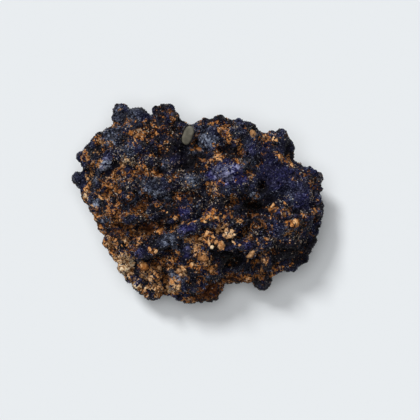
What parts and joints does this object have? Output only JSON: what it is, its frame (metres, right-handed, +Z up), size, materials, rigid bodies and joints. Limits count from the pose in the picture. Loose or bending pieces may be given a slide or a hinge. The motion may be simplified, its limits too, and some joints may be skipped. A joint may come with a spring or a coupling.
{
  "type": "azurite specimen",
  "caption": "Knobbly lump of dark blue azurite and orange clay grown together, with a chip of grey stone in its cleft, resting on a flat cut base.",
  "frame": {"origin": "middle of the footprint's box, on the surface that the specimen rests on", "axes": "+X along the specimen's long way, +Z up out of the flat cut base"},
  "size_m": [0.0838, 0.0666, 0.0345],
  "materials": {
    "azurite": "granular dark blue crust with orange clay between the grains",
    "grey_stone": "matt grey-green, fine grained"
  },
  "bodies": {
    "root": {"azurite_cluster": "azurite", "stone_chip": "grey_stone"}
  },
  "joints": []
}
